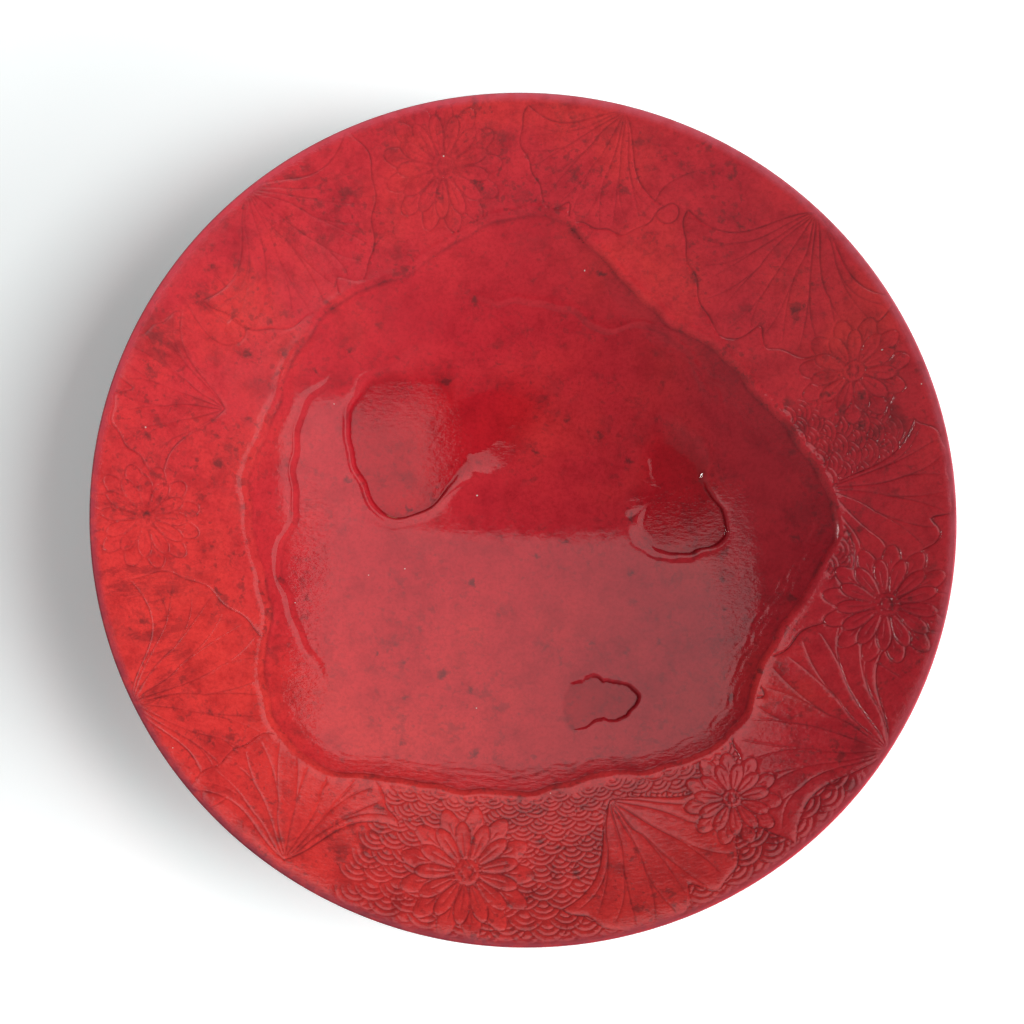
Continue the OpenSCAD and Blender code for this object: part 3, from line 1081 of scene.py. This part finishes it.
bead *= 0.72 + 0.28 * np.sin(6 * turn + 1.6 * np.sin(11 * turn))   # uneven, as a hand leaves it
stepFoot = mound(outward + bank["stepWidth"], beadLook["stainWide"]) * (r < beadLook["upTo"])
keepShade(bankPiece, "stain", np.maximum(groove, beadLook["stain"] * stepFoot))
soot = beadLook["soot"] * mound(outward, beadLook["sootWide"]) * (r < beadLook["upTo"])
keepShade(bankPiece, "soot", soot)
keepShade(bankPiece, "comb", bank["tooled"] + bank["tooledMore"] * soft(r, *bank["tooledRange"]))
displace(bankPiece, "swell", swell, carving["swell"])
displace(bankPiece, "bead", bead, beadLook["rise"])
displace(bankPiece, "groove", groove, -carving["depth"])
finishPiece(bankPiece, "bank_glaze", bankRed, sharpAngle)


# pond: one sheet laid in the bowl, its pools pressed down and parted from it

pond = {
    "size": 330.0,
    "cells": 182,
    "rim": 1.2,             # mm that the bank's step covers
    "slope": 1.35,          # mm over which a pool's edge comes down
    "gentleRange": (-0.9, 1.0),
    "tiltRange": (-0.8, 1.0),
    "ledgeSlope": 1.5,
    "slopeCurve": 1.6,
    "ledgeEnds": 30,        # degrees over which a ledge fades out
    "bead": 0.24,           # rise of the rounded edge round a pool
    "beadAt": 1.2,
    "beadWide": 1.2,
    "border": (4.0, 12.5),  # width of the pond's rising border, and at the lower right
    "borderRise": 0.88,
    "borderBays": [(0.22, 4, 1), (0.15, 9, 2), (0.06, 21, 0)],   # share, count round, phase in radians
    "rippleGap": 3.4,
    "ripple": 0.10,
    "rippleFrom": (4.0, 9.0),     # mm inside the pond's edge
    "rippleTo": (13.0, 17.0),
    "rippleStray": [(2.2, 11, 0), (1.7, 23, 1), (1.1, 51, 2)],
    "slant": 0.8,           # of the line that parts off the lower right, and where that starts and is full
    "rippleSide": (-90, 50),
    "borderSide": (-120, 40),
    "marks": 0.24,          # short tool marks on both sides of the middle
    "marksAt": 99.0,
    "marksWide": 12.0,
    "marksFrom": (-140, -90),
    "marksTo": (0, 50),
    "tooled": 0.3,          # tool marks on the border, and the share of them away from the lower right
    "tooledRange": (0.05, 0.5),
    "tooledLeast": 0.25,
    "stain": 0.5,           # dark glaze along the foot of a step
    "stainWide": 0.8,
    "soot": 0.9,            # iron along the edges: strength, middle and width
    "sootAt": 6,
    "sootWide": 9,
    "lowSootAt": 5,
    "lowSootWide": 7,
    "ledgeBead": 0.6,
    "ledgeBeadAt": 1.1,
    "ledgeBeadWide": 1.15,
    "ledgeStain": 0.3,
    "ledgeStainWide": 0.7,
    "ledgeSoot": 0.8,
    "poolTooled": 0.1,
    "poolTooledRange": (3, 8),
}
ledges = [  # low steps that fade out at both ends
    {
        "r": 115,
        "from": 134,
        "to": 224,
        "bays": [(4, 5, 30), (2.5, 11, 60), (1.2, 19, 20), (0.5, 41, 0)],
        "drop": 0.5,
        "recover": 26,
    },
    {
        "r": 111,
        "from": 30,
        "to": 108,
        "bays": [(5, 6, 80), (3, 13, 20), (1.2, 23, 70), (0.5, 47, 0)],
        "drop": 0.45,
        "recover": 20,
    },
]
bpy.ops.object.select_all(action="DESELECT")
cells = pond["cells"]
bpy.ops.mesh.primitive_grid_add(x_subdivisions=cells, y_subdivisions=cells, size=pond["size"] * mm)
pondPiece = bpy.context.active_object
pondPiece.name = pondPiece.data.name = "pondGlaze"


def pondInside(points):
    r, turn = polar(points)
    return pondEdge(turn) - r


def poolSlope(pool, points):
    dx = points[:, 0] - pool["at"][0]
    dy = points[:, 1] - pool["at"][1]
    turn = np.arctan2(dy, dx) - math.radians(pool["gentleAt"])
    return pond["slope"] + pool["gentle"] * soft(np.cos(turn), *pond["gentleRange"])


def poolShare(pool, points):  # how much of its depth the pool has, where its floor tilts up
    lean = math.radians(pool["gentleAt"])
    dx = points[:, 0] - pool["at"][0]
    dy = points[:, 1] - pool["at"][1]
    run = dx * math.cos(lean) + dy * math.sin(lean)
    return 1 - pool["tilt"] * soft(run / pool["r"], *pond["tiltRange"])


def ledgeDip(ledge, points):  # how far in from the ledge's line, and how much of its drop it has there
    r, turn = polar(points)
    angle = np.degrees(turn) % 360
    share = soft(angle, ledge["from"], ledge["from"] + pond["ledgeEnds"])
    share = share * (1 - soft(angle, ledge["to"] - pond["ledgeEnds"], ledge["to"]))
    return ledge["r"] + waver(turn, ledge["bays"]) - r, share


def rippleShare(points):
    inside = pondInside(points)
    lowRight = soft(points[:, 0] - pond["slant"] * points[:, 1], *pond["rippleSide"])
    return lowRight * soft(inside, *pond["rippleFrom"]) * (1 - soft(inside, *pond["rippleTo"]))


refine = {  # where the sheet gets finer, in mm from each line
    "ripple": 0.1,
    "border": 7,
    "pool": 3,
    "ledge": 4,
    "ledgeAt": 1,
    "share": 0.05,
    "edge": 2.2,
    "edgeAt": 0.8,
    "ledgeFine": 2.3,
    "ledgeFineAt": 0.2,
}
editFaces(pondPiece, pondInside(faceMiddles(pondPiece)) < pond["rim"])
bpy.ops.mesh.delete(type="FACE")
bpy.ops.object.mode_set(mode="OBJECT")
middles = faceMiddles(pondPiece)
finer = (rippleShare(middles) > refine["ripple"]) | (pondInside(middles) < refine["border"])
for pool in pools:
    finer |= poolDepthIn(pool, middles) > -refine["pool"]
for ledge in ledges:
    past, share = ledgeDip(ledge, middles)
    finer |= (np.abs(past - refine["ledgeAt"]) < refine["ledge"]) & (share > refine["share"])
refineFaces(pondPiece, finer)
middles = faceMiddles(pondPiece)
finer = np.zeros(len(middles), bool)
for pool in pools:
    finer |= np.abs(poolDepthIn(pool, middles) - refine["edgeAt"]) < refine["edge"]
for ledge in ledges:
    past, share = ledgeDip(ledge, middles)
    finer |= (np.abs(past - refine["ledgeFineAt"]) < refine["ledgeFine"]) & (share > refine["share"])
refineFaces(pondPiece, finer)

points = readPoints(pondPiece)
r, turn = polar(points)
inside = pondInside(points)
lowRight = soft(points[:, 0] - pond["slant"] * points[:, 1], *pond["borderSide"])
wide = pond["border"][0] + (pond["border"][1] - pond["border"][0]) * lowRight
wide *= 1 + sum(high * np.cos(count * turn + phase) for high, count, phase in pond["borderBays"])
border = np.clip((wide + bank["stepWidth"] - inside) / wide, 0, 1)
drop = dish["pondDrop"] - pond["borderRise"] * border**2
wander = sum(high * np.sin(count * turn + phase) for high, count, phase in pond["rippleStray"])
broken = 0.5 + 0.5 * np.sin(47 * turn + 0.9 * inside + 1.5 * np.sin(0.13 * points[:, 0]))
ripple = np.sin(2 * math.pi * inside / pond["rippleGap"] + wander) * broken
drop += pond["ripple"] * ripple * rippleShare(points)
stain = pond["stain"] * mound(inside - bank["stepWidth"], pond["stainWide"])
soot = pond["soot"] * mound(inside - pond["sootAt"], pond["sootWide"])
comb = pond["tooled"] * soft(border, *pond["tooledRange"])
comb *= pond["tooledLeast"] + (1 - pond["tooledLeast"]) * lowRight
marks = mound(np.abs(points[:, 0]) - pond["marksAt"], pond["marksWide"])
marks *= soft(points[:, 1], *pond["marksFrom"]) * (1 - soft(points[:, 1], *pond["marksTo"]))
comb = np.maximum(comb, pond["marks"] * marks)
pooled = np.zeros(len(points))
for ledge in ledges:
    past, share = ledgeDip(ledge, points)
    lower = np.clip(past / pond["ledgeSlope"], 0, 1) ** pond["slopeCurve"]
    lower = lower * np.exp(-np.clip(past, 0, None) / ledge["recover"])
    bead = pond["ledgeBead"] * mound(past + pond["ledgeBeadAt"], pond["ledgeBeadWide"])
    drop += ledge["drop"] * share * (lower - bead)
    ledgeFoot = mound(past - pond["ledgeSlope"], pond["ledgeStainWide"])
    stain = np.maximum(stain, pond["ledgeStain"] * share * ledgeFoot)
    ledgeSoot = mound(past - pond["lowSootAt"], pond["lowSootWide"])
    soot = np.maximum(soot, pond["ledgeSoot"] * share * ledgeSoot)
for pool in pools:
    depthIn = poolDepthIn(pool, points)
    slope = poolSlope(pool, points)
    sharp = pond["slope"] / slope
    depth = poolShare(pool, points)
    lower = np.clip(depthIn / slope, 0, 1) ** pond["slopeCurve"]
    drop += dish["poolDrop"] * lower * depth
    drop -= pond["bead"] * sharp * depth * mound(depthIn + pond["beadAt"], pond["beadWide"])
    pooled = np.maximum(pooled, soft(depthIn / slope, 0.1, 1))
    poolFoot = mound(depthIn - slope, pond["stainWide"])
    stain = np.maximum(stain, pond["stain"] * sharp * depth * poolFoot)
    soot = np.maximum(soot, pond["soot"] * mound(depthIn - pond["lowSootAt"], pond["lowSootWide"]))
    comb = np.maximum(comb, pond["poolTooled"] * soft(depthIn, *pond["poolTooledRange"]))
points[:, 2] = bowlZ(r, drop)
writePoints(pondPiece, points)
for name, values in (("stain", stain), ("soot", soot), ("comb", comb), ("pooled", pooled)):
    keepShade(pondPiece, name, values)

coats = [(pondPiece, "pond_glaze", "pond_glaze", pondRed)]
for pool in pools:
    editFaces(pondPiece, poolDepthIn(pool, faceMiddles(pondPiece)) > pond["slope"])
    before = set(bpy.data.objects)
    bpy.ops.mesh.separate(type="SELECTED")
    bpy.ops.object.mode_set(mode="OBJECT")
    poolPiece = (set(bpy.data.objects) - before).pop()
    poolPiece.name = poolPiece.data.name = pool["name"]
    coats.append((poolPiece, pool["node"], "pool_glaze", poolRed))
for piece, node, slot, material in coats:
    makeActive(piece)
    thick = piece.modifiers.new("coat", "SOLIDIFY")
    thick.thickness = coat * mm
    thick.offset = -1
    bpy.ops.object.modifier_apply(modifier=thick.name)
    finishPiece(piece, node, material, sharpAngle)


# outside: the coat from the lip to the foot's joint, with the rings that throwing leaves

foot = {
    "across": 152.0,
    "flare": 7.0,
    "wall": 9.0,
    "rest": 6.4,
    "edge": 1.8,
    "outerCoil": 9.0,
    "innerCoil": 6.0,
    "slip": 0.6,
    "glazeLine": 6.0,
    "rollThick": 1.6,
    "rollWide": 2.5,
}
clayR = outerR - coat
footR = foot["across"] / 2
waistR = footR - foot["flare"]
boreR = waistR - foot["wall"]
mouthR = footR - foot["rest"] - 2 * foot["edge"]


def belowBowl(x, r):
    return (x, outerZ - math.sqrt((clayR + r) ** 2 - x**2))


outerCoil = belowBowl(waistR + foot["outerCoil"], foot["outerCoil"])
innerCoil = belowBowl(boreR - foot["innerCoil"], foot["innerCoil"])
outerCoilEnd = math.atan2(outerCoil[1] - outerZ, outerCoil[0])
innerCoilEnd = math.atan2(innerCoil[1] - outerZ, innerCoil[0])
flareDrop = outerCoil[1] - foot["edge"]
flareR = (flareDrop**2 + foot["flare"] ** 2) / (2 * foot["flare"])
flareAt = (waistR + flareR, outerCoil[1])
flareEnd = math.asin(flareDrop / flareR)
glazeEnd = math.asin((flareAt[1] - foot["glazeLine"]) / flareR)

outside = {"turns": 256, "rings": 120, "throwGap": 5.2, "throwDepth": 0.11, "calm": 6}
turns = np.linspace(outerEnd, outerCoilEnd, outside["rings"] + 1)
run = (turns[0] - turns) * outerR
calm = soft(run, 0, outside["calm"]) * soft(run[-1] - run, 0, outside["calm"])
ripple = 0.5 - 0.5 * np.cos(2 * math.pi * run / outside["throwGap"] + 1.3 * np.sin(run / 17))
bow = outerR - outside["throwDepth"] * ripple * calm
outsideLine = np.stack([bow * np.cos(turns), outerZ + bow * np.sin(turns)], 1)
outsideUnder = arc((0, outerZ), clayR, outerCoilEnd, outerEnd, 16)
section = np.concatenate([outsideLine, outsideUnder, outsideLine[:1]])
outsidePiece = spinLine("outsideGlaze", section, outside["turns"])
finishPiece(outsidePiece, "outside_glaze", outsideRed)

# foot coat, with a wandering lower edge
footCoat = {
    "turns": 256,
    "rings": 44,
    "wander": 1.1,
    "bays": [(1, 3, 1), (0.7, 7, 2), (0.5, 13, 0), (0.3, 23, 4)],   # share, count round, phase in radians
}


def coatThick(up):
    wide, thick = foot["rollWide"], foot["rollThick"]
    if up < wide:
        return thick * math.sqrt(1 - (1 - up / wide) ** 2)
    if up < 2 * wide:
        return coat + (thick - coat) * (1 - math.cos(math.pi * up / wide)) / 2
    return coat


def flareLine(z):
    return flareAt[0] - np.sqrt(flareR**2 - np.clip(flareAt[1] - z, 0, None) ** 2)


coatFace = []
for angle in np.linspace(0, glazeEnd, footCoat["rings"] + 1):
    bow = flareR - coatThick(flareR * (glazeEnd - angle))
    coatFace.append((flareAt[0] - bow * math.cos(angle), flareAt[1] - bow * math.sin(angle)))
filletFace = arc(outerCoil, foot["outerCoil"] - coat, outerCoilEnd + math.pi, math.pi, 14)[:-1]
flareBack = arc(flareAt, flareR, math.pi + glazeEnd, math.pi, 16)
filletBack = arc(outerCoil, foot["outerCoil"], math.pi, outerCoilEnd + math.pi, 10)[1:]
section = np.concatenate([filletFace, coatFace, flareBack[1:], filletBack, filletFace[:1]])
footGlazePiece = spinLine("footGlaze", section, footCoat["turns"])
points = readPoints(footGlazePiece)
r, turn = polar(points)
wander = sum(high * np.cos(count * turn + phase) for high, count, phase in footCoat["bays"])
low = points[:, 2] < flareAt[1]
share = np.where(low, soft(flareAt[1] - points[:, 2], 2, flareAt[1] - foot["glazeLine"]), 0)
newZ = points[:, 2] + footCoat["wander"] * (0.5 + 0.4 * wander) * share
newR = np.where(low, r - flareLine(points[:, 2]) + flareLine(newZ), r)
points = np.stack([newR * np.cos(turn), newR * np.sin(turn), newZ], 1)
writePoints(footGlazePiece, points)
finishPiece(footGlazePiece, "foot_glaze", outsideRed)

# base coat, with a shallow spiral from turning
base = {
    "turns": 200,
    "rings": 60,
    "spiralGap": 6.5,
    "spiralDepth": 0.22,
    "spiralFrom": (1.5, 5),   # mm from the axis
    "spiralTo": (30, 44),
    "stain": 0.35,
}
baseFace = arc((0, outerZ), outerR, innerCoilEnd, -math.pi / 2, base["rings"])
innerFace = arc(innerCoil, foot["innerCoil"] - coat, 0, innerCoilEnd + math.pi, 10)[:-1]
baseBack = arc((0, outerZ), clayR, -math.pi / 2, innerCoilEnd, 12)
innerBack = arc(innerCoil, foot["innerCoil"], innerCoilEnd + math.pi, 0, 8)[1:]
section = np.concatenate([innerFace, baseFace, baseBack, innerBack, innerFace[:1]])
basePiece = spinLine("baseGlaze", section, base["turns"])
points = readPoints(basePiece)
r, turn = polar(points)
below = np.abs(np.hypot(r, outerZ - points[:, 2]) - outerR) < 0.05
wave = 0.5 - 0.5 * np.cos(2 * math.pi * r / base["spiralGap"] - turn)
spiral = np.where(below, wave * (1 - soft(r, *base["spiralTo"])) * soft(r, *base["spiralFrom"]), 0)
keepShade(basePiece, "stain", base["stain"] * spiral)
displace(basePiece, "spiral", spiral, -base["spiralDepth"])
finishPiece(basePiece, "base_glaze", outsideRed)

# foot: bare clay, trimmed, with wiping rings on its resting face
ring = {"turns": 256, "wipeGap": 1.3, "wipeDepth": 0.1, "boreGap": 2.9}
slipR = clayR + foot["slip"]
slipTop = arc((0, outerZ), slipR, -math.acos(waistR / slipR), -math.acos(boreR / slipR), 8)
bore = np.linspace(innerCoil[1], foot["edge"] + 0.4, 26)
boreLine = np.stack([np.interp(bore, [foot["edge"], innerCoil[1]], [mouthR, boreR]), bore], 1)
boreLine[1:-1, 0] += ring["wipeDepth"] * (0.5 - 0.5 * np.cos(2 * math.pi * bore[1:-1] / ring["boreGap"]))
mouthEdge = arc((mouthR + foot["edge"], foot["edge"]), foot["edge"], math.pi, 1.5 * math.pi, 8)
rest = np.linspace(mouthR + foot["edge"], footR - foot["edge"], 22)[1:-1]
wiped = ring["wipeDepth"] * np.clip(np.sin(2 * math.pi * rest / ring["wipeGap"]), 0, 1)
restLine = np.stack([rest, wiped], 1)
footEdge = arc((footR - foot["edge"], foot["edge"]), foot["edge"], -math.pi / 2, 0, 8)
flareUp = arc(flareAt, flareR, math.pi + flareEnd, math.pi, 30)[1:]
section = np.concatenate([slipTop, boreLine, mouthEdge, restLine, footEdge, flareUp, slipTop[:1]])
ringPiece = spinLine("footRing", section, ring["turns"])
finishPiece(ringPiece, "foot_ring", buffClay)

clayFinish = {
    "bowl_body": buffClay,
    "outer_joint_coil": buffClay,
    "inner_joint_coil": buffClay,
    "joint_slip": jointSlip,
}
for name, material in clayFinish.items():
    frame["nodes"][name].data.materials.clear()
    frame["nodes"][name].data.materials.append(material)
print("clay under the glaze has its finish")


# floor, light and camera

stage = {  # lengths in metres
    "floor": 14.0,
    "white": (0.89, 0.95, 0.95),
    # the floor's glow is least near the dish's cast shadow, where it is painted shadow
    "lift": (0.175, 0.42),
    "paintedShadowAt": (-0.19, 0.03, 0.0),
    "paintedShadowFrom": 0.06,
    "paintedShadowTo": 0.30,
    "cool": (0.84, 1.0, 1.0),
    "coolFrom": 0.217,
    "coolTo": 0.246,
}
bpy.ops.object.select_all(action="DESELECT")
bpy.ops.mesh.primitive_plane_add(size=stage["floor"])
floorPiece = bpy.context.active_object
floorPiece.name = "floor"
paper, tree = newMaterial("paper")
tree.nodes.remove(tree.nodes["Principled BSDF"])
ray = tree.nodes.new("ShaderNodeLightPath")
seen = times(tree, ray.outputs["Is Camera Ray"], ray.outputs["Is Glossy Ray"], "MAXIMUM")
seen = times(tree, seen, ray.outputs["Is Transmission Ray"], "MAXIMUM")
plain = addNode(tree, "ShaderNodeBsdfDiffuse", Color=(*stage["white"], 1))
place = tree.nodes.new("ShaderNodeTexCoord").outputs["Object"]
# painted shadow: the floor glows less round where the dish's shadow falls, deepening it
fromPaintedShadow = vector(tree, "DISTANCE", place, stage["paintedShadowAt"])
lift = span(tree, fromPaintedShadow, stage["paintedShadowFrom"], stage["paintedShadowTo"], *stage["lift"])
near = span(tree, vector(tree, "LENGTH", place), stage["coolFrom"], stage["coolTo"], 1.0, 0.0)
tone = blendColour(tree, near, (1, 1, 1), stage["cool"])   # evens out the red that the dish throws down
glow = addNode(tree, "ShaderNodeEmission", {"Strength": times(tree, seen, lift), "Color": tone})
both = tree.nodes.new("ShaderNodeAddShader")
tree.links.new(plain.outputs[0], both.inputs[0])
tree.links.new(glow.outputs[0], both.inputs[1])
tree.links.new(both.outputs[0], tree.nodes["Material Output"].inputs["Surface"])
floorPiece.data.materials.append(paper)

room = {
    "front": 0.27,
    "back": 0.06,
    "sideRange": (-0.3, 0.6),
    "ceiling": 0.3,
    "ceilingRange": (0.84, 0.99),
    "fill": 0.29,
}
sky = bpy.data.worlds.new("room")
bpy.context.scene.world = sky
sky.use_nodes = True
tree = sky.node_tree
ray = tree.nodes.new("ShaderNodeLightPath")
place = tree.nodes.new("ShaderNodeTexCoord").outputs["Generated"]
way = addNode(tree, "ShaderNodeSeparateXYZ", {"Vector": place})
side = span(tree, way.outputs["Y"], *room["sideRange"], room["front"], room["back"])
above = span(tree, way.outputs["Z"], *room["ceilingRange"])
walls = times(tree, side, times(tree, 1, times(tree, above, 1 - room["ceiling"]), "SUBTRACT"))
shine = times(tree, ray.outputs["Is Glossy Ray"], walls)
fill = times(tree, times(tree, 1, ray.outputs["Is Glossy Ray"], "SUBTRACT"), room["fill"])
strength = times(tree, times(tree, shine, fill, "ADD"), ray.outputs["Is Camera Ray"], "MAXIMUM")
tree.links.new(strength, tree.nodes["Background"].inputs["Strength"])
tree.nodes["Background"].inputs["Color"].default_value = (1, 1, 1, 1)

lamps = [  # degrees from straight up, degrees round from +X, distance and sizes in metres
    {"name": "keyLamp", "lean": 31, "round": -19.5, "far": 3.2, "size": (1.3, 1.5), "watts": 59.0},
    {"name": "sideLamp", "lean": 70, "round": -21.5, "far": 3.2, "size": (1.2, 1.0), "watts": 52.0},
    {"name": "softBox", "lean": 30.5, "round": 88, "far": 1.4, "size": (1.42, 1.02), "watts": 5.4},
    {"name": "topPanel", "lean": 22, "round": 5, "far": 1.4, "size": (0.36, 0.5), "watts": 0.64},
    {"name": "sparkLamp", "lean": 72, "round": 165, "far": 1.6, "size": (0.16, 0.05), "watts": 1.7},
]
reflected = ("softBox", "topPanel", "sparkLamp")   # seen by reflections only, which don't see the others
aimAt = Vector((0, 0, 0.06))
for lamp in lamps:
    lean, around = math.radians(lamp["lean"]), math.radians(lamp["round"])
    way = Vector((math.sin(lean) * math.cos(around), math.sin(lean) * math.sin(around), math.cos(lean)))
    bpy.ops.object.light_add(type="AREA", location=aimAt + way * lamp["far"])
    light = bpy.context.active_object
    light.name = lamp["name"]
    light.data.shape = "RECTANGLE"
    light.data.size, light.data.size_y = lamp["size"]
    light.data.energy = lamp["watts"]
    light.rotation_euler = way.to_track_quat("Z", "Y").to_euler()
    light.visible_glossy = lamp["name"] in reflected
    light.visible_diffuse = lamp["name"] not in reflected

view = {
    "lens": 90.0,
    "far": 1.1787,
    "elevation": 79.8,
    "side": (-0.2014, -0.9795),
    "aim": (-6.3, -2.2, 92.0),
}
aim = Vector(view["aim"]) * mm
rise = math.radians(view["elevation"])
back = Vector((view["side"][0] * math.cos(rise), view["side"][1] * math.cos(rise), math.sin(rise)))
across = Vector((0, 1, 0)).cross(back).normalized()
turned = Matrix((across, back.cross(across), back)).transposed()
bpy.ops.object.camera_add(location=aim + back * view["far"], rotation=turned.to_euler())
camera = bpy.context.active_object
camera.data.lens = view["lens"]
camera.data.dof.use_dof = False
bpy.context.scene.camera = camera
bpy.context.scene.view_settings.view_transform = "Standard"
print("stage set")
